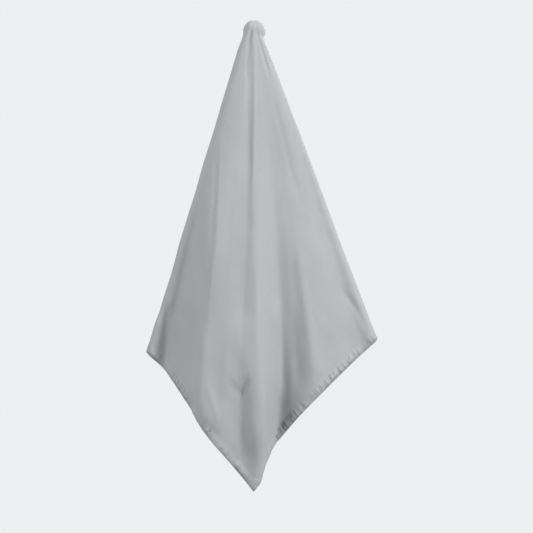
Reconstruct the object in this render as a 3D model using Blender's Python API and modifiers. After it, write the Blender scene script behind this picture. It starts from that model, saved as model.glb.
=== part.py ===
"""A square bandana hung by one corner over a round wall knob.

Metres, +Z up, +X to the right as the front is seen, the wall in the plane y = 0 and the front towards -Y.
The origin is the centre of the knob's back face, where it meets the wall.

The cloth is one square. A point of it is named by its distances u and v from the two edges that meet at the
hung corner, or by its distance from that corner and its angle from the left edge. Below the knob the cloth
hangs as a folded fan: FOLD_LINES gives where each ridge and hollow lies at a few distances down the cloth,
and one smooth curve through them is the section there. Both side edges are turned back behind the front.
"""

import math
from collections import namedtuple

import bmesh
import bpy
import numpy as np

# The cloth, before it is hung.
SIDE = 0.550
WALL = 0.0012
HEM_WIDTH = 0.006
HEM_THICK = 0.0010
GAP = 0.0003
MITRE = 0.0004

# The wall knob: a plate on the wall, a stem and a round head.
PLATE_RADIUS = 0.014
PLATE_THICK = 0.004
PLATE_EDGE = 0.0012
STEM_RADIUS = 0.0045
HEAD_RADIUS = 0.0142
HEAD_OUT = 0.0320
HEAD_STEPS = 12
EDGE_STEPS = 3

# The fan of cloth spreads from a point above the knob, as the two side outlines do.
FAN_TOP = np.array((-0.0042, -0.0280, 0.0411))

# Cloth between the hung corner and that point that the knob takes up: on the front, and at the side edges,
# which reach the hanging part by a shorter way, over this many fold lines.
TAKEN_UP_FRONT = 0.0155
TAKEN_UP_EDGE = -0.008
EDGE_SPAN = 5

# Distances from the hung corner at which the fold lines are given, and two limits that keep the fan in order
# above the first of them.
STATIONS = (0.090, 0.240, 0.480, 0.640, 0.780)
LEAST_REACH = 0.004
LEAST_FALL = 0.6

# The room between the cloth's middle surface and the knob, with the hem of the hung corner in it.
KNOB_ROOM = 0.0028

# The cloth lies on the top of the knob's head at a place this far from the hung corner. Forwards and sideways
# from there it follows the head down to half its height and then hangs; backwards it arches out more widely.
# Between the last two distances it passes into the fan.
TOP_DOWN = 0.022
ARCH_RADIUS = HEAD_RADIUS + KNOB_ROOM
BACK_ARCH_RADIUS = 0.0300
SIDE_SPREAD = 1.8
HANG_SPREAD = 0.30
KNOB_END = 0.026
FAN_START = 0.095

# Ridges and hollows in order along the cloth, from its left edge, round the front, to its right edge.
# across: degrees from straight down, seen from the front; out: millimetres from the wall. There is one of each
# for each station.
FoldLine = namedtuple("FoldLine", "name across out")
FOLD_LINES = (
    FoldLine("left_edge", (-6.0, -1.0, 1.0, 1.2, 1.2), (20, 13, 8, 8, 8)),
    FoldLine("left_back_hollow", (-9.5, -4.5, -2.8, -2.5, -2.5), (20, 10, 6, 6, 6)),
    FoldLine("left_back_ridge", (-12.5, -9.0, -7.8, -7.6, -7.6), (21, 14, 13, 12, 12)),
    FoldLine("left_back_turn", (-15.3, -13.8, -13.6, -13.6, -13.6), (23, 14, 5, 5, 5)),
    FoldLine("left_outline_back", (-16.4, -16.2, -16.3, -16.3, -16.3), (28, 20, 7, 7, 7)),
    FoldLine("left_outline", (-16.9, -16.9, -16.9, -16.9, -16.9), (34, 27, 12, 12, 12)),
    FoldLine("left_outline_front", (-16.0, -16.3, -16.2, -16.1, -16.1), (40, 33, 18, 15, 15)),
    FoldLine("left_corner_hollow", (-14.0, -14.9, -14.5, -13.9, -13.9), (43, 38, 19, 12, 12)),
    FoldLine("left_shoulder", (-11.5, -13.2, -12.5, -11.9, -11.9), (45, 42, 36, 30, 30)),
    FoldLine("left_flank", (-8.5, -11.3, -10.4, -9.6, -9.6), (46, 45, 52, 54, 54)),
    FoldLine("left_crest", (-5.5, -8.5, -8.2, -6.9, -6.0), (46.5, 48, 68, 90, 88)),
    FoldLine("left_middle", (-3.8, -5.0, -4.9, -4.2, -3.6), (47, 49, 72, 95, 91)),
    FoldLine("middle_hollow", (-2.0, -1.6, -1.7, -1.2, -0.9), (46.5, 48, 75, 88, 84)),
    FoldLine("centre_crest", (1.5, 1.0, 1.3, 1.4, 0.8), (47, 51, 81, 98, 88)),
    FoldLine("right_flank", (4.5, 4.0, 3.5, 2.6, 1.5), (47, 50, 68, 76, 64)),
    FoldLine("right_hollow", (7.5, 7.0, 5.4, 4.0, 2.4), (46.5, 48, 56, 52, 50)),
    FoldLine("right_rise", (10.0, 9.5, 7.8, 6.0, 4.4), (46.5, 47.5, 60, 60, 59)),
    FoldLine("right_ridge", (12.5, 12.0, 10.3, 8.9, 7.4), (46, 48, 63, 71, 71)),
    FoldLine("right_plain", (15.5, 15.0, 14.2, 13.6, 13.6), (45, 48, 60, 64, 64)),
    FoldLine("right_corner_hollow", (18.3, 18.2, 18.0, 18.0, 18.0), (42, 46, 54, 53, 53)),
    FoldLine("right_outline_front", (19.8, 19.8, 19.9, 19.9, 19.9), (38, 44, 54, 56, 56)),
    FoldLine("right_outline", (20.5, 20.5, 20.5, 20.5, 20.5), (32, 38, 48, 50, 50)),
    FoldLine("right_outline_back", (19.8, 19.8, 19.9, 19.9, 19.9), (27, 32, 42, 45, 45)),
    FoldLine("right_back_turn", (17.0, 17.5, 17.6, 17.6, 17.6), (23, 25, 30, 31, 31)),
    FoldLine("right_back_hollow", (12.0, 13.5, 13.2, 13.2, 13.2), (20, 19, 18, 18, 18)),
    FoldLine("right_back_ridge", (7.5, 10.0, 9.6, 9.6, 9.6), (20, 22, 21, 20, 20)),
    FoldLine("right_edge", (3.0, 6.5, 6.0, 6.0, 6.0), (20, 17, 15, 14, 14)),
)

# How finely the surface is worked out, and the lines of its mesh.
TABLE_STEP = 0.004
TABLE_SHARES = 361
SAMPLES_A_FOLD = 12
KNOB_ROW_STEP = 0.0045
KNOB_ROWS_END = 0.045
ROW_GROWTH = 1.16
MOST_ROW_STEP = 0.030
COLUMN_SPACING = 0.0155
FACING_STEP = 0.004
TURN_STEPS = 32
SHARP_ANGLE = math.radians(60)
MERGE_WITHIN = 1e-5
TINY = 1e-9


def smooth_through(knots, values, at):
    """The smooth curve through values at knots, read at the places given, and held at its two ends."""
    knots = np.asarray(knots, float)
    values = np.asarray(values, float)
    at = np.clip(at, knots[0], knots[-1])
    slopes = np.gradient(values, knots, axis=0)
    first = np.clip(np.searchsorted(knots, at, side="right") - 1, 0, len(knots) - 2)
    width = knots[first + 1] - knots[first]
    t = (at - knots[first]) / width
    if values.ndim > 1:
        width, t = width[:, None], t[:, None]
    return (
        (2 * t**3 - 3 * t**2 + 1) * values[first]
        + (t**3 - 2 * t**2 + t) * width * slopes[first]
        + (3 * t**2 - 2 * t**3) * values[first + 1]
        + (t**3 - t**2) * width * slopes[first + 1]
    )


def fan_section(down):
    """The hanging cloth at one distance from the hung corner.

    Gives points along it, and the share of its length before each of them and before each fold line.
    """
    place = np.array((down,))
    across = np.radians([smooth_through(STATIONS, line.across, place)[0] for line in FOLD_LINES])
    out = np.array([smooth_through(STATIONS, line.out, place)[0] for line in FOLD_LINES]) / 1000
    from_edge = np.minimum(np.arange(len(out)), np.arange(len(out))[::-1]) / EDGE_SPAN
    taken_up = TAKEN_UP_EDGE + (TAKEN_UP_FRONT - TAKEN_UP_EDGE) * np.minimum(from_edge, 1)
    reach = np.maximum(down - taken_up, LEAST_REACH)
    lean = out + FAN_TOP[1]
    radius = np.sqrt(np.maximum(reach**2 - lean**2, (LEAST_FALL * reach) ** 2))
    corners = np.stack(
        (FAN_TOP[0] + radius * np.sin(across), -out, FAN_TOP[2] - radius * np.cos(across)), axis=1
    )
    chords = np.linalg.norm(np.diff(corners, axis=0), axis=1)
    knots = np.concatenate(((0,), np.cumsum(chords)))
    places = np.linspace(0, knots[-1], SAMPLES_A_FOLD * len(corners))
    curve = smooth_through(knots, corners, places)
    lengths = np.concatenate(((0,), np.cumsum(np.linalg.norm(np.diff(curve, axis=0), axis=1))))
    return curve, lengths / lengths[-1], np.interp(knots, places, lengths) / lengths[-1]


def knob_section(down, shares):
    """Points of the cloth that lies over the knob's head, at one distance from the hung corner."""
    turn = (shares - 0.5) * math.pi / 2
    forward = down * np.cos(turn) - TOP_DOWN
    aside = down * np.sin(turn)
    way = np.hypot(forward, aside)
    ahead = forward / np.maximum(way, TINY)
    ahead = np.where(ahead > 0, ahead * (1 - np.abs(2 * shares - 1) ** SIDE_SPREAD), ahead)
    sideways = np.sign(aside) * np.sqrt(1 - ahead**2)
    radius = ARCH_RADIUS + (BACK_ARCH_RADIUS - ARCH_RADIUS) * np.minimum(ahead, 0) ** 2
    bend = np.minimum(way / radius, math.pi / 2)
    hanging = way - radius * bend
    flat = radius * np.sin(bend)
    height = ARCH_RADIUS - radius * (1 - np.cos(bend)) - hanging
    return np.stack(((flat + HANG_SPREAD * hanging) * sideways, -HEAD_OUT - flat * ahead, height), axis=1)


def clear_of_knob(points):
    """Moves points out to where cloth can lie on the knob's head and beside its stem."""
    behind_head = points[:, 1] > -HEAD_OUT
    from_axis = np.hypot(points[:, 0], points[:, 2])
    stem_push = np.where(behind_head, np.maximum(STEM_RADIUS + KNOB_ROOM - from_axis, 0), 0)
    points = points.copy()
    points[:, 0] += stem_push * points[:, 0] / np.maximum(from_axis, TINY)
    points[:, 2] += stem_push * points[:, 2] / np.maximum(from_axis, TINY)
    away = points - np.array((0, -HEAD_OUT, 0))
    distance = np.linalg.norm(away, axis=1)
    head_push = np.maximum(HEAD_RADIUS + KNOB_ROOM - distance, 0)
    return points + away * (head_push / np.maximum(distance, TINY))[:, None]


def between(grid, rows, columns):
    """Values of a grid at places between its rows and columns."""
    rows, columns = np.broadcast_arrays(np.asarray(rows, float), np.asarray(columns, float))
    i = np.clip(rows.astype(int), 0, grid.shape[0] - 2)
    j = np.clip(columns.astype(int), 0, grid.shape[1] - 2)
    s = (rows - i)[..., None]
    t = (columns - j)[..., None]
    upper = grid[i, j] * (1 - t) + grid[i, j + 1] * t
    lower = grid[i + 1, j] * (1 - t) + grid[i + 1, j + 1] * t
    return upper * (1 - s) + lower * s


def cloth_table():
    """The cloth's middle: a point for each distance from the hung corner and each share of the turn."""
    downs = np.arange(0, math.sqrt(2) * SIDE + TABLE_STEP, TABLE_STEP)
    shares = np.linspace(0, 1, TABLE_SHARES)
    rows = []
    for down in downs:
        curve, along, _ = fan_section(down)
        fan = np.stack([np.interp(shares, along, curve[:, axis]) for axis in range(3)], axis=1)
        weight = np.clip((down - KNOB_END) / (FAN_START - KNOB_END), 0, 1)
        weight = weight * weight * (3 - 2 * weight)
        rows.append(clear_of_knob(weight * fan + (1 - weight) * knob_section(down, shares)))
    return np.array(rows)


TABLE = cloth_table()


def cloth_points(u, v):
    """Where the cloth hangs, for points given by their distances from the edges at the hung corner."""
    down = np.hypot(u, v)
    share = np.arctan2(v, np.maximum(u, TINY)) / (math.pi / 2)
    return between(TABLE, down / TABLE_STEP, share * (TABLE_SHARES - 1))


def cloth_facing(u, v):
    """The direction that the cloth's front side faces at those points."""
    before_u, after_u = np.maximum(u - FACING_STEP, 0), np.minimum(u + FACING_STEP, SIDE)
    before_v, after_v = np.maximum(v - FACING_STEP, 0), np.minimum(v + FACING_STEP, SIDE)
    along_u = cloth_points(after_u, v) - cloth_points(before_u, v)
    along_v = cloth_points(u, after_v) - cloth_points(u, before_v)
    facing = np.cross(along_u, along_v)
    return facing / np.maximum(np.linalg.norm(facing, axis=-1, keepdims=True), TINY)


def panel_grid():
    """Places of the panel's mesh: rows run beside the two lower hems, columns fan out along the folds."""
    reach = [0, HEM_WIDTH]
    step = KNOB_ROW_STEP
    while reach[-1] + 1.5 * step < SIDE - HEM_WIDTH:
        reach.append(reach[-1] + step)
        if reach[-1] > KNOB_ROWS_END:
            step = min(step * ROW_GROWTH, MOST_ROW_STEP)
    reach = np.array(reach + [SIDE - HEM_WIDTH, SIDE])
    _, _, lines = fan_section(SIDE)
    shares = [0.0]
    for before, after in zip(lines, lines[1:]):
        parts = math.ceil((after - before) * math.pi / 2 * SIDE / COLUMN_SPACING)
        shares.extend(before + (after - before) * np.arange(1, parts + 1) / parts)
    shares = np.array(shares)
    shares[np.abs(shares - 0.5).argmin()] = 0.5
    slant = np.tan(np.minimum(shares, 1 - shares) * math.pi / 2)
    fan = np.clip((slant * SIDE - HEM_WIDTH) / (SIDE - HEM_WIDTH), 0, 1)
    inside = fan > 0
    fan = np.concatenate(((0,), fan[inside], (0,)))
    shares = np.concatenate(((0,), shares[inside], (1,)))
    long = np.repeat(reach[:, None], len(fan) + 2, axis=1)
    short = np.zeros_like(long)
    short[1:, 1:-1] = HEM_WIDTH + np.maximum(reach[1:, None] - HEM_WIDTH, 0) * fan
    left_half = np.concatenate(((0,), shares, (1,))) <= 0.5
    return np.where(left_half, long, short), np.where(left_half, short, long)


def material(name, colour, roughness, metallic=0.0):
    made = bpy.data.materials.new(name)
    made.use_nodes = True
    shader = made.node_tree.nodes["Principled BSDF"]
    shader.inputs["Base Color"].default_value = (*colour, 1)
    shader.inputs["Roughness"].default_value = roughness
    shader.inputs["Metallic"].default_value = metallic
    return made


def sheet(name, middle, facing, front, back, finish, collection):
    """A cloth solid over a grid of points, its two sides these distances before the middle surface."""
    rows, columns = middle.shape[:2]
    slab = bmesh.new()
    bmesh.ops.create_grid(slab, x_segments=columns - 1, y_segments=rows - 1, size=0.5)
    bmesh.ops.triangulate(slab, faces=slab.faces[:], quad_method="FIXED")
    bmesh.ops.solidify(slab, geom=slab.faces[:], thickness=1)
    height = max(vert.co.z for vert in slab.verts)
    for vert in slab.verts:
        row = round((0.5 - vert.co.y) * (rows - 1))
        column = round((vert.co.x + 0.5) * (columns - 1))
        lift = front if height - vert.co.z < 0.5 else back
        vert.co = middle[row, column] + lift * facing[row, column]
    bmesh.ops.remove_doubles(slab, verts=slab.verts[:], dist=MERGE_WITHIN)
    mesh = bpy.data.meshes.new(name)
    slab.to_mesh(mesh)
    slab.free()
    mesh.shade_smooth()
    mesh.set_sharp_from_angle(angle=SHARP_ANGLE)
    mesh.materials.append(finish)
    made = bpy.data.objects.new(name, mesh)
    collection.objects.link(made)
    return made


def make_cloth(collection):
    cloth = material("plain_grey_cloth", (0.47, 0.48, 0.50), 0.75)
    u, v = panel_grid()
    middle = cloth_points(u, v)
    facing = cloth_facing(u, v)
    sheet("cloth_panel", middle, facing, WALL / 2, -WALL / 2, cloth, collection)

    # Each hem is a strip behind the panel's edge, mitred at the corners with a small gap.
    last_row = u.shape[0] - 1
    last_column = u.shape[1] - 1
    tip = int(np.flatnonzero(u[-1] >= SIDE - TINY).max())
    short = MITRE / HEM_WIDTH
    near_top = MITRE / (u[2, 0] - u[1, 0])
    near_foot = MITRE / (u[-2, 0] - u[-3, 0])
    down = np.arange(2, last_row - 1)
    edge_rows = np.concatenate(((short,), down, (last_row - short,)))
    seam_rows = np.concatenate(((1 + near_top,), down, (last_row - 1 - near_foot,)))
    side_rows = np.stack((edge_rows, seam_rows), axis=1)

    def side_hem(name, columns):
        place = side_rows if columns[0] == 0 else side_rows[:, ::-1]
        add_hem(name, place, np.array(columns)[None, :])

    def foot_hem(name, across, edge_ends, seam_ends):
        edge = np.concatenate((edge_ends[:1], across, edge_ends[1:]))
        seam = np.concatenate((seam_ends[:1], across, seam_ends[1:]))
        add_hem(name, np.array([[last_row - 1], [last_row]]), np.stack((seam, edge)))

    def add_hem(name, rows, columns):
        inward = (-WALL / 2 - GAP, -WALL / 2 - GAP - HEM_THICK)
        place = between(middle, rows, columns)
        sheet(name, place, between(facing, rows, columns), *inward, cloth, collection)

    side_hem("hem_upper_left", (0, 1))
    side_hem("hem_upper_right", (last_column - 1, last_column))
    near_corner = 1 + MITRE / (v[-1, 2] - v[-1, 1])
    before_tip = tip - MITRE / (v[-1, tip] - v[-1, tip - 1])
    after_tip = tip + MITRE / (u[-1, tip] - u[-1, tip + 1])
    foot_hem("hem_lower_left", np.arange(2, tip), (short, before_tip), (near_corner, before_tip))
    edge_end = last_column - short
    seam_end = last_column - near_corner
    right = np.arange(tip + 1, last_column - 1)
    foot_hem("hem_lower_right", right, (after_tip, edge_end), (after_tip, seam_end))


def turned(name, profile, finish, collection):
    """A solid turned about the line that leaves the wall at the origin, from (radius, distance) pairs."""
    mesh = bpy.data.meshes.new(name)
    edges = [(point, point + 1) for point in range(len(profile) - 1)]
    mesh.from_pydata([(radius, 0, out) for radius, out in profile], edges, [])
    mesh.materials.append(finish)
    made = bpy.data.objects.new(name, mesh)
    made.rotation_euler.x = math.radians(90)
    screw = made.modifiers.new("Turn", "SCREW")
    screw.steps = screw.render_steps = TURN_STEPS
    screw.use_merge_vertices = True
    screw.merge_threshold = MERGE_WITHIN
    screw.use_smooth_shade = True
    collection.objects.link(made)
    return made


def arc(centre_radius, centre_out, radius, start, end, steps):
    """Points on a quarter or more of a circle in a turned profile, between two angles from the front."""
    angles = [math.radians(start + (end - start) * step / steps) for step in range(steps + 1)]
    return [(centre_radius + radius * math.sin(a), centre_out + radius * math.cos(a)) for a in angles]


def make_knob(collection):
    metal = material("brushed_steel", (0.55, 0.55, 0.56), 0.35, 1.0)
    neck = 180 - math.degrees(math.asin(STEM_RADIUS / HEAD_RADIUS))
    head = arc(0, HEAD_OUT, HEAD_RADIUS, 0, neck, HEAD_STEPS)
    foot = PLATE_THICK + GAP
    turned("wall_knob", head + [(STEM_RADIUS, foot), (0, foot)], metal, collection)
    edge = arc(PLATE_RADIUS - PLATE_EDGE, PLATE_THICK - PLATE_EDGE, PLATE_EDGE, 0, 90, EDGE_STEPS)
    turned("knob_plate", [(0, PLATE_THICK)] + edge + [(PLATE_RADIUS, 0), (0, 0)], metal, collection)


def main():
    for old in list(bpy.data.objects):
        bpy.data.objects.remove(old)
    collection = bpy.data.collections.new("bandana_on_a_wall_knob")
    bpy.context.scene.collection.children.link(collection)
    make_cloth(collection)
    make_knob(collection)


main()
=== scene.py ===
"""The looks of a plain grey bandana hung by one corner over a wall knob: cloth, hems, stitches and metal.

Metres, +Z up, the wall in the plane y = 0 and the front towards -Y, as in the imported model. A place on the
cloth is given by its distances u and v from the upper right and the upper left edge of the square.
"""

import math
from collections import namedtuple

import bmesh
import bpy
import numpy as np
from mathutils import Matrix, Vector


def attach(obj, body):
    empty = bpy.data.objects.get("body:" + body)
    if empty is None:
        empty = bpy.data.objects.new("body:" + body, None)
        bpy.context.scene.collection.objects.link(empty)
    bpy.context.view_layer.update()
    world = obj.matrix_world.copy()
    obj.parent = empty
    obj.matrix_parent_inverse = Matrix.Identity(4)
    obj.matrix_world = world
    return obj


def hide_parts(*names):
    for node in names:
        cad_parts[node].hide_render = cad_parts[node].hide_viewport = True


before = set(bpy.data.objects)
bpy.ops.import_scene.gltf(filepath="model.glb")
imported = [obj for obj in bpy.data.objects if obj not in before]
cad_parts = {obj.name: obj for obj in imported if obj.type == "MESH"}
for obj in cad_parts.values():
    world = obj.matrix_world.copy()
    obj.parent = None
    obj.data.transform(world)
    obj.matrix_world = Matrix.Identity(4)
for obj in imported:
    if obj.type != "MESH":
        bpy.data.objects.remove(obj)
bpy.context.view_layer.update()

# The cloth before it is hung, and its hems. The shell is nearly as thin as woven cotton.
SIDE = 0.550
SHELL = 0.0005
HEM_WIDTH = 0.006
MITRE = 0.0003
# The section of a turned hem, in millimetres: distance in from the edge, and place in front of the middle of
# the cloth.
HEM_BACK = 0.85
HEM_SECTION = (
    (6.0, -0.34), (5.9, -0.29), (4.5, -0.29), (2.5, -0.29), (0.5, -0.29), (-0.02, -0.27), (-0.02, 0.0),
    (-0.02, 0.24), (-0.18, 0.25), (-0.36, 0.14), (-0.47, -0.08), (-0.50, -0.36), (-0.42, -0.62),
    (-0.24, -0.80), (0.1, -HEM_BACK), (2.0, -HEM_BACK), (4.0, -HEM_BACK), (5.7, -HEM_BACK),
    (5.95, -0.78), (6.05, -0.56),
)
HEM_ROWS = 260

# The four edges of the square, and a seed for the stitches of each.
SIDES = {"upper_left": 186, "upper_right": 193, "lower_left": 186, "lower_right": 193}

# The hem stitches. Each is a short thread: places along its half length, and its rise and thickness there
# in radii of the thread. They vary a little in place along the seam, in length and in distance in.
STITCH_LINE = 0.0051
STITCH_START = 0.0080
STITCH_PITCH = 0.0028
STITCH_LENGTH = 0.0022
STITCH_PLACES = (-1.0, -0.85, -0.35, 0.35, 0.85, 1.0)
STITCH_RISE = (-1.2, -0.3, 0.25, 0.25, -0.3, -1.2)
STITCH_SWELL = (0.5, 0.9, 1.0, 1.0, 0.9, 0.5)
STITCH_SLIP = 0.00006
STITCH_VARIES = 0.05
STITCH_WANDER = 0.00005
THREAD_RADIUS = 0.00016
THREAD_SIDES = 5
THREAD_DARK = (0.24, 0.243, 0.247)
THREAD_LIGHT = (0.34, 0.343, 0.347)
THREAD_SPREAD = (0.35, 0.65)
THREAD_ROUGH = (0.5, 0.7)
THREAD_GLOSS = 0.4
TWIST_SCALE = 4200.0
TWIST_DEPTH = 0.00005
TWIST_STRENGTH = 0.5

# Most values of a noise texture lie in this range.
NOISE_SPREAD = (0.3, 0.7)

# The weave, its slubs and wear, and its colour.
THREAD_PITCH = 0.00045
WEAVE_DEPTH = 0.00008
WEAVE_STRENGTH = 0.5
SLUB_DEPTH = 0.00010
SLUB_STRENGTH = 0.6
SLUBS_ALONG_U = (14, 1300, 1)
SLUBS_ALONG_V = (1300, 14, 1)
SLUB_SHARE = 0.7
WEAR_SCALE = 9.0
COTTON_DARK = (0.195, 0.198, 0.202)
COTTON_LIGHT = (0.215, 0.218, 0.222)
COTTON_SPREAD = (0.36, 0.64)
COTTON_ROUGH = (0.80, 0.92)
COTTON_GLOSS = 0.22
COTTON_SHEEN = 0.04
SHEEN_ROUGH = 0.5

# The puckers beside the hems: waves of the sheet itself, finer ones in its material, and the sunk seam.
PUCKER_REACH = 0.017
PUCKER_SPACING = 0.075
PUCKER_RISE = 0.0006
PUCKER_WAVE = 0.0050
PUCKER_MEAN = 0.6
PUCKER_SEED = 20
SPACING_SEED = 10
PUCKER_PITCH = 0.0070
PUCKER_DEPTH = 0.0080
PUCKER_LONG = 0.25
PUCKER_SPREAD = (0.4, 0.6)
PUCKER_LEAST = 0.3
UPPER_PUCKERS = 0.6
HEM_PUCKERS = 0.35
STITCH_SINK = 0.00035
SINK_WIDTH = 0.0011

# The wall knob and its steel.
STEM_RADIUS = 0.0045
HEAD_RADIUS = 0.0142
HEAD_OUT = 0.0320
STEEL_DARK = (0.36, 0.36, 0.355)
STEEL_LIGHT = (0.46, 0.46, 0.455)
MARKS_SCALE = 90.0
MARKS_ROUGHEN = 0.14
LINES_DEPTH = 0.00004
LINES_STRENGTH = 0.5
KNOB_LINES = (60, 60, 3000)
KNOB_ROUGH = 0.30
PLATE_LINES = (2500, 2500, 60)
PLATE_ROUGH = 0.36

# How the cloth hangs. Its folds fan out from one point. They lie as far from there as from the hung corner,
# less the cloth that the top takes up. That differs at the edges, over this many fold lines.
FAN_TOP = np.array((-0.0042, -0.0280, 0.0411))
TAKEN_UP_FRONT = 0.0155
TAKEN_UP_EDGE = -0.008
EDGE_SPAN = 5
LEAST_REACH = 0.004
LEAST_FALL = 0.6

# The cloth over the knob's head: its hung corner lies behind the top, the arch is wider behind, and between
# two distances from the corner this shape turns into the fan.
KNOB_ROOM = 0.0028
TOP_DOWN = 0.022
ARCH_RADIUS = HEAD_RADIUS + KNOB_ROOM
BACK_ARCH_RADIUS = 0.0300
SIDE_SPREAD = 1.8
HANG_SPREAD = 0.30
KNOB_END = 0.026
FAN_START = 0.095

# Ridges and hollows in order along the cloth, from its left edge, round the front, to its right edge, with
# a value for each station, which is a distance from the hung corner.
# across: degrees from straight down, seen from the front; out: millimetres from the wall.
STATIONS = (0.090, 0.240, 0.480, 0.640, 0.780)
FoldLine = namedtuple("FoldLine", "name across out")
FOLD_LINES = (
    FoldLine("left_edge", (-6.0, -1.0, 1.0, 1.2, 1.2), (20, 13, 8, 8, 8)),
    FoldLine("left_back_hollow", (-9.5, -4.5, -2.8, -2.5, -2.5), (20, 10, 6, 6, 6)),
    FoldLine("left_back_ridge", (-12.5, -9.0, -7.8, -7.6, -7.6), (21, 14, 13, 12, 12)),
    FoldLine("left_back_turn", (-15.3, -13.8, -13.6, -13.6, -13.6), (23, 14, 5, 5, 5)),
    FoldLine("left_outline_back", (-16.4, -16.2, -16.3, -16.3, -16.3), (28, 20, 7, 7, 7)),
    FoldLine("left_outline", (-16.9, -16.9, -16.9, -16.9, -16.9), (34, 27, 12, 12, 12)),
    FoldLine("left_outline_front", (-16.0, -16.3, -16.2, -16.1, -16.1), (40, 33, 18, 15, 15)),
    FoldLine("left_corner_hollow", (-14.0, -14.9, -14.5, -13.9, -13.9), (43, 38, 19, 12, 12)),
    FoldLine("left_shoulder", (-11.5, -13.2, -12.5, -11.9, -11.9), (45, 42, 36, 30, 30)),
    FoldLine("left_flank", (-8.5, -11.3, -10.4, -9.6, -9.6), (46, 45, 52, 54, 54)),
    FoldLine("left_crest", (-5.5, -8.5, -8.2, -6.9, -6.0), (46.5, 48, 68, 90, 88)),
    FoldLine("left_middle", (-3.8, -5.0, -4.9, -4.2, -3.6), (47, 49, 72, 95, 91)),
    FoldLine("middle_hollow", (-2.0, -1.6, -1.7, -1.2, -0.9), (46.5, 48, 75, 88, 84)),
    FoldLine("centre_crest", (1.5, 1.0, 1.3, 1.4, 0.8), (47, 51, 81, 98, 88)),
    FoldLine("right_flank", (4.5, 4.0, 3.5, 2.6, 1.5), (47, 50, 68, 76, 64)),
    FoldLine("right_hollow", (7.5, 7.0, 5.4, 4.0, 2.4), (46.5, 48, 56, 52, 50)),
    FoldLine("right_rise", (10.0, 9.5, 7.8, 6.0, 4.4), (46.5, 47.5, 60, 60, 59)),
    FoldLine("right_ridge", (12.5, 12.0, 10.3, 8.9, 7.4), (46, 48, 63, 71, 71)),
    FoldLine("right_plain", (15.5, 15.0, 14.2, 13.6, 13.6), (45, 48, 60, 64, 64)),
    FoldLine("right_corner_hollow", (18.3, 18.2, 18.0, 18.0, 18.0), (42, 46, 54, 53, 53)),
    FoldLine("right_outline_front", (19.8, 19.8, 19.9, 19.9, 19.9), (38, 44, 54, 56, 56)),
    FoldLine("right_outline", (20.5, 20.5, 20.5, 20.5, 20.5), (32, 38, 48, 50, 50)),
    FoldLine("right_outline_back", (19.8, 19.8, 19.9, 19.9, 19.9), (27, 32, 42, 45, 45)),
    FoldLine("right_back_turn", (17.0, 17.5, 17.6, 17.6, 17.6), (23, 25, 30, 31, 31)),
    FoldLine("right_back_hollow", (12.0, 13.5, 13.2, 13.2, 13.2), (20, 19, 18, 18, 18)),
    FoldLine("right_back_ridge", (7.5, 10.0, 9.6, 9.6, 9.6), (20, 22, 21, 20, 20)),
    FoldLine("right_edge", (3.0, 6.5, 6.0, 6.0, 6.0), (20, 17, 15, 14, 14)),
)

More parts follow.
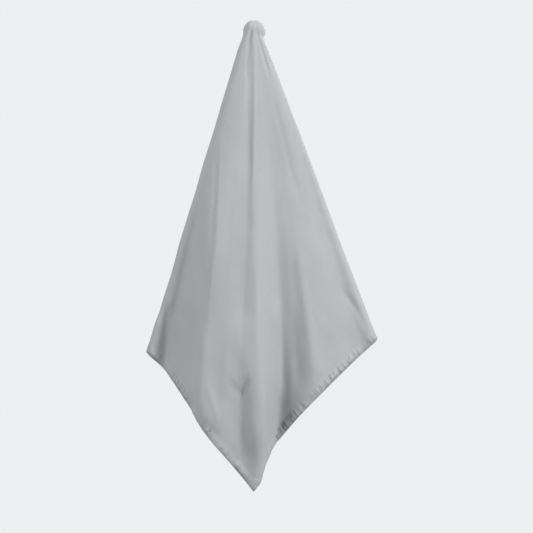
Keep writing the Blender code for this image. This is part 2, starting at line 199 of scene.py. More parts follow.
# Small creases on top of the folds: height and width in millimetres, crisp or soft across, and a path of
# places (u, v) on the cloth in millimetres. Each fades in and out over a share of its length.
FADE_SHARE = 0.25
CRISP_ROUND = 0.2
Crease = namedtuple("Crease", "name height width crisp path")
CREASES = (
    Crease("valley_one_top", -2.0, 2.8, False, ((9, 8), (18, 17), (28, 26), (36, 34), (48, 40),
            (73, 57), (95, 73), (117, 95))),
    Crease("valley_one_low", -0.5, 6, False, ((130, 108), (169, 158), (223, 217), (279, 274), (321, 310))),
    Crease("ridge_one", 0.9, 3.2, False, ((16, 17), (26, 27), (38, 38), (59, 57), (94, 91), (132, 131),
            (185, 190), (240, 247))),
    Crease("valley_two_top", -1.6, 2.8, False, ((8, 10), (17, 20), (26, 30), (33, 38), (41, 50),
            (54, 67), (65, 88), (75, 109), (82, 122))),
    Crease("valley_two_low", -0.7, 6, False, ((75, 109), (109, 175), (123, 214), (142, 254), (153, 286),
            (171, 317))),
    Crease("left_crest_line", 0.8, 4, True, ((182, 94), (229, 140), (274, 186), (319, 231), (361, 259),
            (397, 284), (443, 328))),
    Crease("left_crest_dip", -0.7, 4.5, False, ((221, 122), (256, 156), (285, 184), (320, 217), (373, 252))),
    Crease("mid_crease_top", -0.3, 5, False, ((264, 255), (304, 292), (352, 334), (397, 376), (432, 409))),
    Crease("mid_crease_low", -2.6, 14, False, ((434, 415), (453, 432), (473, 455), (496, 479),
            (518, 506), (532, 526))),
    Crease("centre_crest_line", 1.2, 3.5, True, ((286, 301), (323, 342), (371, 391), (424, 447),
            (465, 491), (500, 536))),
    Crease("right_ridge_line", 2.0, 9, False, ((199, 334), (238, 384), (265, 432), (295, 488), (330, 543))),
    Crease("right_dimple", -1.3, 8, False, ((250, 483), (276, 502), (303, 525))),
    Crease("right_dimple_low", -0.8, 6, False, ((269, 532), (291, 542), (309, 547))),
    Crease("right_corner_trough", -1.5, 5, False, ((193, 437), (189, 471), (188, 500), (191, 523),
            (194, 538))),
    Crease("left_corner_trough", -4.5, 9, False, ((460, 202), (501, 225), (528, 242), (547, 266))),
    Crease("light_diagonal", 1.5, 5, False, ((489, 368), (499, 388), (511, 412), (521, 432))),
    Crease("dark_by_hem", -4.5, 12, False, ((541, 334), (548, 402), (541, 441), (547, 455))),
    Crease("v_wrinkle_right", -3.4, 4.2, False, ((464, 432), (453, 431), (440, 428), (424, 425))),
    Crease("v_wrinkle_left", -1.8, 4.2, False, ((455, 432), (462, 421), (463, 410), (461, 400))),
    Crease("back_left_fall", -1.2, 7, False, ((150, 14), (230, 24), (320, 38), (410, 52), (500, 62))),
    Crease("back_left_ridge", 1.0, 6, False, ((260, 70), (350, 86), (440, 100), (520, 108))),
    Crease("back_left_slant", -1.0, 5, False, ((330, 12), (380, 40), (440, 62), (490, 90))),
    Crease("back_left_low", 1.1, 8, False, ((430, 20), (480, 34), (530, 40))),
    Crease("back_right_fall", -1.2, 7, False, ((14, 170), (24, 250), (36, 340), (44, 430), (52, 510))),
    Crease("back_right_ridge", 1.0, 6, False, ((60, 280), (72, 370), (84, 460), (92, 530))),
    Crease("back_right_slant", -1.0, 5, False, ((12, 350), (38, 400), (60, 450), (84, 500))),
    Crease("back_right_low", 1.0, 8, False, ((18, 450), (30, 500), (36, 535))),
    Crease("low_left_swell", 7, 26, False, ((358, 327), (407, 387), (441, 429), (483, 483), (521, 531))),
    Crease("right_hollow_fill", 4.6, 12, False, ((290, 368), (334, 423), (365, 467), (406, 519))),
    Crease("right_rise_trough", -2.2, 13, False, ((276, 401), (311, 454), (333, 494), (355, 532))),
    Crease("left_corner_ridge", 2.6, 7, False, ((482, 204), (504, 212), (529, 221), (547, 229))),
    Crease("left_crest_fall", -4.5, 24, False, ((344, 231), (398, 284), (441, 331), (475, 373),
            (503, 416), (522, 456))),
)

# Slow swells and small dents of the free cloth.
SWELL = 0.0011
SWELL_PITCH = 0.055
SWELL_LONG = 1.3
SWELL_SEED = 3
SWELL_FULL_AT = 0.45
SWELL_LEAST = 0.12
DENT = 0.00035
DENT_PITCH = 0.022
DENT_LONG = 1.2
DENT_SEED = 8
LATTICE = 96
LATTICE_START = (3.3, 5.7)

# How finely the surface is worked out.
TABLE_STEP = 0.002
TABLE_SHARES = 1441
SAMPLES_A_FOLD = 24
FACING_STEP = 0.003
EDGE_REACH = 0.002
TOUCHING = 1e-6
TINY = 1e-9

# The lines of the panel's mesh: their distances from the upper edges and from the lower ones, the steps
# between those, and the lines along the hem at each side.
UPPER_ROWS = (0, 0.0015, 0.003, 0.0045, HEM_WIDTH)
LOWER_ROWS = (0.010, 0.008, 0.0066, 0.0056, 0.0045, 0.003, 0.0014, 0)
FIRST_STEP = 0.0025
STEP_GROWTH = 1.03
WIDEST_STEP = 0.0052
LEAST_STEP = 0.002
COLUMN_STEP = 0.0031
HEM_COLUMNS = (0, 0.0014, 0.003, 0.0045, 0.0056, HEM_WIDTH)

# The studio: a floor that fades out, a pale world, three soft lights and the camera.
FLOOR_HEIGHT = -1.6
FLOOR_MIDDLE = 0.02
FLOOR_SOLID = 1.0
FLOOR_RADIUS = 2.6
FLOOR_RINGS = 24
FLOOR_SPOKES = 96
FLOOR_DARK = (0.36, 0.36, 0.357)
FLOOR_LIGHT = (0.39, 0.39, 0.387)
FLOOR_ROUGH = 0.7
GRAIN_SCALE = 30.0
WORLD = (0.85, 0.86, 0.87, 1)
Light = namedtuple("Light", "name place aim size energy")
LIGHTS = (
    Light("key", (1.75, -1.25, 0.75), (0.01, -0.05, -0.35), 0.7, 98),
    Light("fill", (-2.2, -1.5, 1.3), (0.0, -0.05, -0.35), 1.6, 88),
    Light("rear", (0.9, 1.9, 0.9), (0.0, -0.05, -0.35), 1.2, 90),
)
CAMERA_PLACE = (0.0194, -2.03, -0.3729)
CAMERA_LENS = 85.2
CAMERA_SENSOR = 36


def eased(share):
    """A share from 0 to 1 that starts and stops gently."""
    return share * share * (3 - 2 * share)


def smooth_through(knots, values, at):
    """The smooth curve through values at knots, read at the places given, and held at its two ends."""
    knots = np.asarray(knots, float)
    values = np.asarray(values, float)
    at = np.clip(at, knots[0], knots[-1])
    slopes = np.gradient(values, knots, axis=0)
    first = np.clip(np.searchsorted(knots, at, side="right") - 1, 0, len(knots) - 2)
    width = knots[first + 1] - knots[first]
    t = (at - knots[first]) / width
    if values.ndim > 1:
        width, t = width[:, None], t[:, None]
    return (
        (2 * t**3 - 3 * t**2 + 1) * values[first]
        + (t**3 - 2 * t**2 + t) * width * slopes[first]
        + (3 * t**2 - 2 * t**3) * values[first + 1]
        + (t**3 - t**2) * width * slopes[first + 1]
    )


def fan_section(down):
    """The hanging cloth at one distance from the hung corner: points, and shares of its length before each of
    them and before each fold line."""
    place = np.array((down,))
    across = np.radians([smooth_through(STATIONS, line.across, place)[0] for line in FOLD_LINES])
    out = np.array([smooth_through(STATIONS, line.out, place)[0] for line in FOLD_LINES]) / 1000
    from_edge = np.minimum(np.arange(len(out)), np.arange(len(out))[::-1]) / EDGE_SPAN
    taken_up = TAKEN_UP_EDGE + (TAKEN_UP_FRONT - TAKEN_UP_EDGE) * np.minimum(from_edge, 1)
    reach = np.maximum(down - taken_up, LEAST_REACH)
    lean = out + FAN_TOP[1]
    radius = np.sqrt(np.maximum(reach**2 - lean**2, (LEAST_FALL * reach) ** 2))
    corners = np.stack(
        (FAN_TOP[0] + radius * np.sin(across), -out, FAN_TOP[2] - radius * np.cos(across)), axis=1
    )
    chords = np.linalg.norm(np.diff(corners, axis=0), axis=1)
    knots = np.concatenate(((0,), np.cumsum(chords)))
    places = np.linspace(0, knots[-1], SAMPLES_A_FOLD * len(corners))
    curve = smooth_through(knots, corners, places)
    lengths = np.concatenate(((0,), np.cumsum(np.linalg.norm(np.diff(curve, axis=0), axis=1))))
    return curve, lengths / lengths[-1], np.interp(knots, places, lengths) / lengths[-1]


def knob_section(down, shares):
    """Points of the cloth that lies over the knob's head, at one distance from the hung corner."""
    turn = (shares - 0.5) * math.pi / 2
    forward = down * np.cos(turn) - TOP_DOWN
    aside = down * np.sin(turn)
    way = np.hypot(forward, aside)
    ahead = forward / np.maximum(way, TINY)
    ahead = np.where(ahead > 0, ahead * (1 - np.abs(2 * shares - 1) ** SIDE_SPREAD), ahead)
    sideways = np.sign(aside) * np.sqrt(1 - ahead**2)
    radius = ARCH_RADIUS + (BACK_ARCH_RADIUS - ARCH_RADIUS) * np.minimum(ahead, 0) ** 2
    bend = np.minimum(way / radius, math.pi / 2)
    hanging = way - radius * bend
    flat = radius * np.sin(bend)
    height = ARCH_RADIUS - radius * (1 - np.cos(bend)) - hanging
    return np.stack(((flat + HANG_SPREAD * hanging) * sideways, -HEAD_OUT - flat * ahead, height), axis=1)


def clear_of_knob(points):
    """Moves points out to where cloth can lie on the knob's head and beside its stem."""
    behind_head = points[:, 1] > -HEAD_OUT
    from_axis = np.hypot(points[:, 0], points[:, 2])
    stem_push = np.where(behind_head, np.maximum(STEM_RADIUS + KNOB_ROOM - from_axis, 0), 0)
    points = points.copy()
    points[:, 0] += stem_push * points[:, 0] / np.maximum(from_axis, TINY)
    points[:, 2] += stem_push * points[:, 2] / np.maximum(from_axis, TINY)
    away = points - np.array((0, -HEAD_OUT, 0))
    distance = np.linalg.norm(away, axis=1)
    head_push = np.maximum(HEAD_RADIUS + KNOB_ROOM - distance, 0)
    return points + away * (head_push / np.maximum(distance, TINY))[:, None]


def between(grid, rows, columns):
    """Values of a grid at places between its rows and columns."""
    i = np.clip(rows.astype(int), 0, grid.shape[0] - 2)
    j = np.clip(columns.astype(int), 0, grid.shape[1] - 2)
    s = (rows - i)[..., None]
    t = (columns - j)[..., None]
    upper = grid[i, j] * (1 - t) + grid[i, j + 1] * t
    lower = grid[i + 1, j] * (1 - t) + grid[i + 1, j + 1] * t
    return upper * (1 - s) + lower * s


def cloth_table():
    """The folded cloth without its small creases: a point for each distance from the hung corner and each
    share of the turn."""
    shares = np.linspace(0, 1, TABLE_SHARES)
    rows = []
    for down in np.arange(0, math.sqrt(2) * SIDE + TABLE_STEP, TABLE_STEP):
        curve, along, _ = fan_section(down)
        fan = np.stack([np.interp(shares, along, curve[:, axis]) for axis in range(3)], axis=1)
        weight = eased(np.clip((down - KNOB_END) / (FAN_START - KNOB_END), 0, 1))
        rows.append(clear_of_knob(weight * fan + (1 - weight) * knob_section(down, shares)))
    return np.array(rows)


TABLE = cloth_table()


def folded(u, v):
    """Where places on the cloth lie, without its small creases."""
    share = np.arctan2(v, np.maximum(u, TINY)) / (math.pi / 2)
    return between(TABLE, np.hypot(u, v) / TABLE_STEP, share * (TABLE_SHARES - 1))


def fold_facing(u, v):
    """The direction that the folded cloth's front side faces."""
    before_u, after_u = np.maximum(u - FACING_STEP, 0), np.minimum(u + FACING_STEP, SIDE)
    before_v, after_v = np.maximum(v - FACING_STEP, 0), np.minimum(v + FACING_STEP, SIDE)
    along_u = folded(after_u, v) - folded(before_u, v)
    along_v = folded(u, after_v) - folded(u, before_v)
    facing = np.cross(along_u, along_v)
    return facing / np.maximum(np.linalg.norm(facing, axis=-1, keepdims=True), TINY)


def lattice_noise(u, v, pitch_u, pitch_v, seed):
    """Smooth noise in -1..1 with about this pitch."""
    values = np.random.default_rng(seed).uniform(-1, 1, (LATTICE, LATTICE))
    a, b = u / pitch_u + LATTICE_START[0], v / pitch_v + LATTICE_START[1]
    i, j = np.floor(a).astype(int), np.floor(b).astype(int)
    s, t = a - i, b - j
    s, t = s * s * s * (s * (6 * s - 15) + 10), t * t * t * (t * (6 * t - 15) + 10)
    i, j = i % (LATTICE - 1), j % (LATTICE - 1)
    upper = values[i, j] * (1 - t) + values[i, j + 1] * t
    lower = values[i + 1, j] * (1 - t) + values[i + 1, j + 1] * t
    return upper * (1 - s) + lower * s


def crease_height(u, v):
    """How far all the small creases together raise or sink places on the cloth."""
    total = np.zeros_like(u)
    for crease in CREASES:
        path = np.array(crease.path, float) / 1000
        steps = np.linalg.norm(np.diff(path, axis=0), axis=1)
        ends = np.concatenate(((0,), np.cumsum(steps)))
        nearest = np.full(u.shape, 1.0)
        along = np.zeros_like(u)
        for start, stop, step, before in zip(path, path[1:], steps, ends):
            way = (stop - start) / step
            t = np.clip((u - start[0]) * way[0] + (v - start[1]) * way[1], 0, step)
            distance = np.hypot(u - start[0] - t * way[0], v - start[1] - t * way[1])
            closer = distance < nearest
            nearest = np.where(closer, distance, nearest)
            along = np.where(closer, before + t, along)
        share = along / ends[-1]
        fade = eased(np.clip(np.minimum(share, 1 - share) / FADE_SHARE, 0, 1))
        far = nearest / (crease.width / 1000)
        if crease.crisp:
            across = np.exp(CRISP_ROUND - np.sqrt(far**2 + CRISP_ROUND**2))
        else:
            across = np.exp(-(far**2))
        total += crease.height / 1000 * fade * across
    return total


def unevenness(u, v):
    """Slow swells and small dents between the folds and creases, stronger where the cloth hangs free."""
    free = np.clip(np.hypot(u, v) / SWELL_FULL_AT, SWELL_LEAST, 1)
    swell = SWELL * lattice_noise(u, v, SWELL_PITCH, SWELL_PITCH * SWELL_LONG, SWELL_SEED)
    dent = DENT * lattice_noise(u, v, DENT_PITCH, DENT_PITCH * DENT_LONG, DENT_SEED)
    return free * (swell + dent)


def pucker_height(u, v):
    """Small waves beside the four hems, where their stitches draw the cloth together."""
    total = np.zeros_like(u)
    edges = ((u, v), (v, u), (SIDE - u, v), (SIDE - v, u))
    for seed, (across, along) in enumerate(edges, PUCKER_SEED):
        near = np.clip(1 - (across - STITCH_LINE) / PUCKER_REACH, 0, 1)
        wave = lattice_noise(along, across, PUCKER_WAVE, PUCKER_REACH, seed)
        patches = lattice_noise(along, across, PUCKER_SPACING, PUCKER_SPACING, seed + SPACING_SEED)
        drawn = PUCKER_MEAN + (1 - PUCKER_MEAN) * patches
        total += PUCKER_RISE * near * near * drawn * wave
    return total


def surface(u, v, lift=0.0):
    """Where the finished cloth lies, or a place this far in front. Past an edge it goes straight on."""
    inside_u, inside_v = np.clip(u, 0, SIDE), np.clip(v, 0, SIDE)
    facing = fold_facing(inside_u, inside_v)
    relief = crease_height(inside_u, inside_v) + unevenness(inside_u, inside_v)
    relief += pucker_height(inside_u, inside_v)
    points = folded(inside_u, inside_v) + (relief + lift)[..., None] * facing
    for outside, toward in ((u - inside_u, (EDGE_REACH, 0)), (v - inside_v, (0, EDGE_REACH))):
        if not np.any(outside):
            continue
        low = folded(np.maximum(inside_u - toward[0], 0), np.maximum(inside_v - toward[1], 0))
        high = folded(np.minimum(inside_u + toward[0], SIDE), np.minimum(inside_v + toward[1], SIDE))
        way = (high - low) / np.maximum(np.linalg.norm(high - low, axis=-1, keepdims=True), TINY)
        points = points + outside[..., None] * way
    return points


def mesh_object(name, points, faces, finish, uv=None):
    """A smooth mesh piece; uv gives each point its place on the cloth in metres."""
    mesh = bpy.data.meshes.new(name)
    mesh.from_pydata([tuple(point) for point in points], [], faces)
    if uv is not None:
        layer = mesh.uv_layers.new(name="cloth")
        corners = np.empty(len(mesh.loops), np.int32)
        mesh.loops.foreach_get("vertex_index", corners)
        layer.data.foreach_set("uv", np.asarray(uv, np.float32)[corners].ravel())
    mesh.shade_smooth()
    mesh.materials.append(finish)
    made = bpy.data.objects.new(name, mesh)
    bpy.context.scene.collection.objects.link(made)
    return made


def cleaned(obj, within):
    """Joins points that coincide and turns every face outwards."""
    work = bmesh.new()
    work.from_mesh(obj.data)
    bmesh.ops.remove_doubles(work, verts=work.verts[:], dist=within)
    bmesh.ops.recalc_face_normals(work, faces=work.faces[:])
    work.to_mesh(obj.data)
    work.free()


def grid_faces(rows, columns, around=False):
    """Four-sided faces of a grid of points, closed across its rows if it goes around."""
    across = columns if around else columns - 1
    return [
        (
            i * columns + j,
            (i + 1) * columns + j,
            (i + 1) * columns + (j + 1) % columns,
            i * columns + (j + 1) % columns,
        )
        for i in range(rows - 1)
        for j in range(across)
    ]


def panel_rows():
    """Distances of the panel's mesh lines from the two upper edges, finest beside the hems."""
    rows = list(UPPER_ROWS)
    step = FIRST_STEP
    while rows[-1] + step < SIDE - HEM_WIDTH - FIRST_STEP:
        rows.append(rows[-1] + step)
        step = min(step * STEP_GROWTH, WIDEST_STEP)
    lowest = SIDE - LOWER_ROWS[0] - LEAST_STEP
    return np.array([row for row in rows if row < lowest] + [SIDE - row for row in LOWER_ROWS])


def panel_mesh(finish):
    """The whole square as one thin shell. Its mesh lines fan out from the hung corner, as the folds do."""
    rows = panel_rows()
    _, _, lines = fan_section(SIDE)
    shares = [0.0]
    for before, after in zip(lines, lines[1:]):
        parts = math.ceil((after - before) * math.pi / 2 * SIDE / COLUMN_STEP)
        shares.extend(before + (after - before) * np.arange(1, parts + 1) / parts)
    shares = np.array(shares)
    shares[np.abs(shares - 0.5).argmin()] = 0.5
    slant = np.tan(np.minimum(shares, 1 - shares) * math.pi / 2)
    fan = np.clip((slant * SIDE - HEM_WIDTH) / (SIDE - HEM_WIDTH), 0, 1)
    inside = fan > 0
    hem = np.array(HEM_COLUMNS) / HEM_WIDTH
    edge = len(hem)
    fan = fan[inside]
    columns = 2 * edge + len(fan)
    long = np.repeat(rows[:, None], columns, axis=1)
    short = np.empty_like(long)
    near = np.minimum(rows, HEM_WIDTH)[:, None]
    short[:, :edge] = near * hem
    short[:, -edge:] = near * hem[::-1]
    short[:, edge:-edge] = near + np.maximum(rows - HEM_WIDTH, 0)[:, None] * fan
    is_left = np.concatenate((np.ones(edge, bool), shares[inside] <= 0.5, np.zeros(edge, bool)))
    u, v = np.where(is_left, long, short), np.where(is_left, short, long)
    points = surface(u, v).reshape(-1, 3)
    uv = np.stack((u.ravel(), v.ravel()), axis=1)
    panel = mesh_object("bandana_cloth", points, grid_faces(len(rows), columns), finish, uv)
    cleaned(panel, TOUCHING)
    thick = panel.modifiers.new("Shell", "SOLIDIFY")
    thick.thickness = SHELL
    thick.offset = 0
    return panel


def beside_edge(side, along, inward):
    """The place (u, v) that lies this far along one edge of the square and this far in from it."""
    if side == "upper_left":
        return along, inward
    if side == "upper_right":
        return inward, along
    if side == "lower_right":
        return along, SIDE - inward
    return SIDE - inward, along


def hem_mesh(side, finish):
    """One turned hem: the layers behind the panel's edge, and the round fold that closes over it."""
    inward, lift = np.array(HEM_SECTION).T / 1000
    share = np.linspace(0, 1, HEM_ROWS)[:, None]
    start = inward + MITRE
    along = start + (SIDE - 2 * start) * share
    u, v = beside_edge(side, along, np.broadcast_to(inward, along.shape))
    points = surface(u, v, np.broadcast_to(lift, along.shape)).reshape(-1, 3)
    loop = len(inward)
    faces = grid_faces(HEM_ROWS, loop, around=True)
    faces.append(tuple(range(loop)))
    faces.append(tuple(range((HEM_ROWS - 1) * loop, HEM_ROWS * loop)))
    uv = np.stack((u.ravel(), v.ravel()), axis=1)
    hem = mesh_object("turned_hem_" + side, points, faces, finish, uv)
    cleaned(hem, TINY)
    return hem


def stitch_mesh(side, finish):
    """The lockstitch of one hem: a row of short threads that dip into the cloth, in front and behind."""
    count = round((SIDE - 2 * STITCH_START) / STITCH_PITCH)
    centres = STITCH_START + (SIDE - 2 * STITCH_START) * np.arange(count + 1) / count
    rng = np.random.default_rng(SIDES[side])
    points = []
    for front in (True, False):
        middle = centres + (0 if front else STITCH_PITCH / 2) + rng.normal(0, STITCH_SLIP, len(centres))
        length = STITCH_LENGTH * (1 + rng.normal(0, STITCH_VARIES, len(centres)))
        along = middle[:, None] + length[:, None] * np.array(STITCH_PLACES) / 2
        inward = STITCH_LINE + rng.normal(0, STITCH_WANDER, len(centres))[:, None] + 0 * along
        depth = THREAD_RADIUS * np.array(STITCH_RISE)
        lift = SHELL / 2 + depth if front else -(HEM_BACK / 1000 + depth)
        u, v = beside_edge(side, along, inward)
        spine = surface(u, v, lift + 0 * along)
        facing = fold_facing(u, v)
        way = np.gradient(spine, axis=1)
        way /= np.linalg.norm(way, axis=-1, keepdims=True)
        aside = np.cross(way, facing)
        radius = THREAD_RADIUS * np.array(STITCH_SWELL)[None, :, None, None]
        turn = 2 * math.pi * np.arange(THREAD_SIDES) / THREAD_SIDES
        ring = aside[:, :, None] * np.cos(turn)[:, None] + facing[:, :, None] * np.sin(turn)[:, None]
        points.append(spine[:, :, None] + radius * ring)
    points = np.concatenate(points)
    rings = len(STITCH_PLACES)
    one = grid_faces(rings, THREAD_SIDES, around=True)
    one.append(tuple(range(THREAD_SIDES)))
    one.append(tuple(range((rings - 1) * THREAD_SIDES, rings * THREAD_SIDES)))
    size = rings * THREAD_SIDES
    faces = [tuple(k + size * i for k in face) for i in range(len(points)) for face in one]
    stitches = mesh_object("stitches_" + side, points.reshape(-1, 3), faces, finish)
    cleaned(stitches, TINY)
    return stitches


class Tree:
    """A new material and short ways to add nodes to it."""

    def __init__(self, name):
        self.material = bpy.data.materials.new(name)
        self.material.use_nodes = True
        self.nodes = self.material.node_tree.nodes
        self.shader = self.nodes["Principled BSDF"]

    def put(self, socket, value):
        """Gives a socket a fixed value or a link."""
        if isinstance(value, bpy.types.NodeSocket):
            self.material.node_tree.links.new(value, socket)
        else:
            socket.default_value = value

    def finish(self, **inputs):
        """Sets inputs of the surface shader, with _ for each space in their names."""
        for name, value in inputs.items():
            self.put(self.shader.inputs[name.replace("_", " ")], value)

    def math(self, kind, a, b=0.0):
        """The result of one sum of this kind."""
        node = self.nodes.new("ShaderNodeMath")
        node.operation = kind
        self.put(node.inputs[0], a)
        self.put(node.inputs[1], b)
        return node.outputs[0]

    def place(self, kind, scale):
        """Texture coordinates of this kind, stretched by a scale for each axis."""
        source = self.nodes.new("ShaderNodeTexCoord")
        mapping = self.nodes.new("ShaderNodeMapping")
        self.put(mapping.inputs["Vector"], source.outputs[kind])
        mapping.inputs["Scale"].default_value = scale
        return mapping.outputs[0]

    def noise(self, place, scale, detail):
        """Smooth noise in 0..1."""
        node = self.nodes.new("ShaderNodeTexNoise")
        self.put(node.inputs["Vector"], place)
        node.inputs["Scale"].default_value = scale
        node.inputs["Detail"].default_value = detail
        return node.outputs[0]

    def ramp(self, value, low, high, spread=NOISE_SPREAD):
        """A colour between two for a value in this range."""
        node = self.nodes.new("ShaderNodeValToRGB")
        self.put(node.inputs[0], value)
        for element, position, colour in zip(node.color_ramp.elements, spread, (low, high)):
            element.position = position
            element.color = (*colour, 1)
        return node.outputs[0]

    def band(self, value, low, high, out_low, out_high):
        """A value carried smoothly from one range to another."""
        node = self.nodes.new("ShaderNodeMapRange")
        node.interpolation_type = "SMOOTHSTEP"
        for socket, number in zip(node.inputs, (value, low, high, out_low, out_high)):
            self.put(socket, number)
        return node.outputs[0]

    def bump(self, height, distance, strength, normal=None):
        """A normal that shows this height, on top of another bump if one is given."""
        node = self.nodes.new("ShaderNodeBump")
        self.put(node.inputs["Height"], height)
        node.inputs["Distance"].default_value = distance
        node.inputs["Strength"].default_value = strength
        if normal is not None:
            self.put(node.inputs["Normal"], normal)
        return node.outputs[0]


def cotton_material():
    """Plain woven grey cotton: threads, slubs, the sunk stitch line and the puckers that it draws."""
    tree = Tree("grey_cotton")
    flat = tree.nodes.new("ShaderNodeUVMap")
    flat.uv_map = "cloth"
    split = tree.nodes.new("ShaderNodeSeparateXYZ")
    tree.put(split.inputs[0], flat.outputs[0])
    u, v = split.outputs[0], split.outputs[1]
    warp = tree.math("SINE", tree.math("MULTIPLY", u, math.pi / THREAD_PITCH))
    weft = tree.math("SINE", tree.math("MULTIPLY", v, math.pi / THREAD_PITCH))
    weave = tree.math("MULTIPLY", warp, weft)
    slub_u = tree.noise(tree.place("UV", SLUBS_ALONG_U), 1.0, 2.0)
    slub_v = tree.noise(tree.place("UV", SLUBS_ALONG_V), 1.0, 2.0)
    slubs = tree.math("MULTIPLY", tree.math("ADD", slub_u, slub_v), 0.5)
    worn = tree.noise(tree.place("UV", (1, 1, 1)), WEAR_SCALE, 3.0)
    slub_part = tree.math("MULTIPLY", slubs, SLUB_SHARE)
    mix = tree.math("ADD", slub_part, tree.math("MULTIPLY", worn, 1 - SLUB_SHARE))
    colour = tree.ramp(mix, COTTON_DARK, COTTON_LIGHT, COTTON_SPREAD)

    normal = tree.bump(weave, WEAVE_DEPTH, WEAVE_STRENGTH)
    normal = tree.bump(slubs, SLUB_DEPTH, SLUB_STRENGTH, normal)
    for across, stretch in ((v, (1, PUCKER_LONG, 1)), (u, (PUCKER_LONG, 1, 1))):
        place = tree.place("UV", stretch)
        patches = tree.noise(place, 1 / PUCKER_SPACING, 0.0)
        drawn = tree.band(patches, *PUCKER_SPREAD, PUCKER_LEAST, 1.0)
        pucker = tree.math("MULTIPLY", tree.noise(place, 1 / PUCKER_PITCH, 1.0), drawn)
        for low_edge in (False, True):
            inward = tree.math("SUBTRACT", SIDE, across) if low_edge else across
            reach = tree.math(
                "MULTIPLY",
                tree.band(inward, 0.0, STITCH_LINE, HEM_PUCKERS, 1.0),
                tree.band(inward, STITCH_LINE, PUCKER_REACH, 1.0, 0.0),
            )
            depth = PUCKER_DEPTH if low_edge else PUCKER_DEPTH * UPPER_PUCKERS
            normal = tree.bump(tree.math("MULTIPLY", pucker, reach), depth, 1.0, normal)
            gap = tree.math("ABSOLUTE", tree.math("SUBTRACT", inward, STITCH_LINE))
            normal = tree.bump(tree.band(gap, 0.0, SINK_WIDTH, 0.0, 1.0), STITCH_SINK, 1.0, normal)
    tree.finish(Base_Color=colour, Roughness=tree.band(slubs, *NOISE_SPREAD, *COTTON_ROUGH))
    tree.finish(Normal=normal, Specular_IOR_Level=COTTON_GLOSS)
    tree.finish(Sheen_Weight=COTTON_SHEEN, Sheen_Roughness=SHEEN_ROUGH)
    return tree.material


def thread_material():
    """Grey sewing thread, a little lighter than the cloth, with its twist."""
    tree = Tree("sewing_thread")
    twist = tree.noise(tree.place("Object", (1, 1, 1)), TWIST_SCALE, 1.0)
    tree.finish(Base_Color=tree.ramp(twist, THREAD_DARK, THREAD_LIGHT, THREAD_SPREAD))
    tree.finish(Roughness=tree.band(twist, *NOISE_SPREAD, *THREAD_ROUGH), Specular_IOR_Level=THREAD_GLOSS)
    tree.finish(Normal=tree.bump(twist, TWIST_DEPTH, TWIST_STRENGTH))
    return tree.material


def steel_material(name, stretch, rough):
    """Satin steel with fine turned lines and faint handling marks."""
    tree = Tree(name)
    lines = tree.noise(tree.place("Object", stretch), 1.0, 3.0)
    marks = tree.noise(tree.place("Object", (1, 1, 1)), MARKS_SCALE, 4.0)
    tree.finish(Base_Color=tree.ramp(marks, STEEL_DARK, STEEL_LIGHT), Metallic=1.0)
    tree.finish(Roughness=tree.band(marks, *NOISE_SPREAD, rough, rough + MARKS_ROUGHEN))
    tree.finish(Normal=tree.bump(lines, LINES_DEPTH, LINES_STRENGTH))
    return tree.material


def area_light(light):
    """A round soft light that faces its aim."""
    lamp = bpy.data.lights.new(light.name, "AREA")
    lamp.shape = "DISK"
    lamp.size = light.size
    lamp.energy = light.energy
    holder = bpy.data.objects.new(light.name, lamp)
    bpy.context.scene.collection.objects.link(holder)
    holder.location = light.place
    holder.rotation_euler = (holder.location - Vector(light.aim)).to_track_quat("Z", "Y").to_euler()


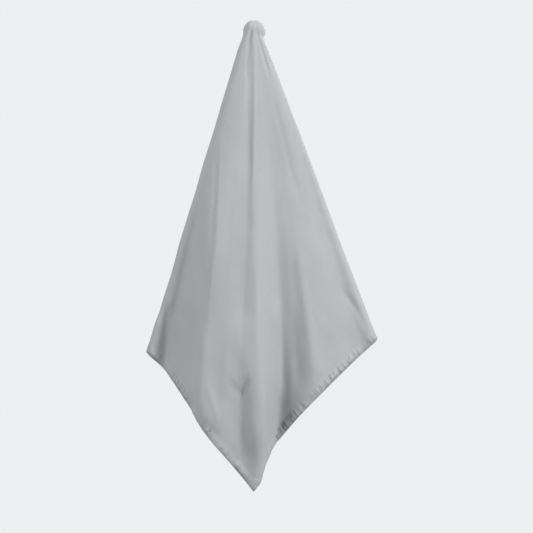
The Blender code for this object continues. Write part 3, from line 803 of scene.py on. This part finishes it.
def floor():
    """A pale round floor well below the hanging cloth, which fades out towards its rim."""
    rings = np.linspace(FLOOR_MIDDLE, FLOOR_RADIUS, FLOOR_RINGS)
    turn = 2 * math.pi * np.arange(FLOOR_SPOKES) / FLOOR_SPOKES
    height = np.full((FLOOR_RINGS, FLOOR_SPOKES), FLOOR_HEIGHT)
    points = np.stack((np.outer(rings, np.cos(turn)), np.outer(rings, np.sin(turn)), height), axis=-1)
    tree = Tree("pale_floor")
    grain = tree.noise(tree.place("Object", (1, 1, 1)), GRAIN_SCALE, 4.0)
    from_middle = tree.nodes.new("ShaderNodeVectorMath")
    from_middle.operation = "LENGTH"
    tree.put(from_middle.inputs[0], tree.place("Object", (1, 1, 0)))
    tree.finish(Base_Color=tree.ramp(grain, FLOOR_DARK, FLOOR_LIGHT), Roughness=FLOOR_ROUGH)
    tree.finish(Alpha=tree.band(from_middle.outputs["Value"], FLOOR_SOLID, FLOOR_RADIUS, 1.0, 0.0))
    faces = grid_faces(FLOOR_RINGS, FLOOR_SPOKES, around=True)
    faces.append(tuple(range(FLOOR_SPOKES)))
    mesh_object("floor", points.reshape(-1, 3), faces, tree.material)


def main():
    """Builds the cloth, its hems and stitches, gives the metal its finish and sets up the studio."""
    cotton = cotton_material()
    thread = thread_material()
    panel = panel_mesh(cotton)
    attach(panel, "root")
    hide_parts("cloth_panel")
    for side in SIDES:
        hem = hem_mesh(side, cotton)
        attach(hem, "root")
        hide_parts("hem_" + side)
        stitches = stitch_mesh(side, thread)
        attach(stitches, "root")

    turned_steel = steel_material("turned_steel", KNOB_LINES, KNOB_ROUGH)
    plate_steel = steel_material("plate_steel", PLATE_LINES, PLATE_ROUGH)
    bpy.data.objects["wall_knob"].data.materials[0] = turned_steel
    bpy.data.objects["knob_plate"].data.materials[0] = plate_steel

    floor()
    world = bpy.data.worlds.new("studio")
    bpy.context.scene.world = world
    world.use_nodes = True
    back = world.node_tree.nodes["Background"]
    back.inputs["Color"].default_value = WORLD
    back.inputs["Strength"].default_value = 1.0
    for light in LIGHTS:
        area_light(light)

    camera = bpy.data.objects.new("camera", bpy.data.cameras.new("camera"))
    bpy.context.scene.collection.objects.link(camera)
    camera.location = CAMERA_PLACE
    camera.rotation_euler = (math.pi / 2, 0, 0)
    camera.data.lens = CAMERA_LENS
    camera.data.sensor_width = CAMERA_SENSOR
    bpy.context.scene.camera = camera
    bpy.context.scene.view_settings.view_transform = "Standard"


main()
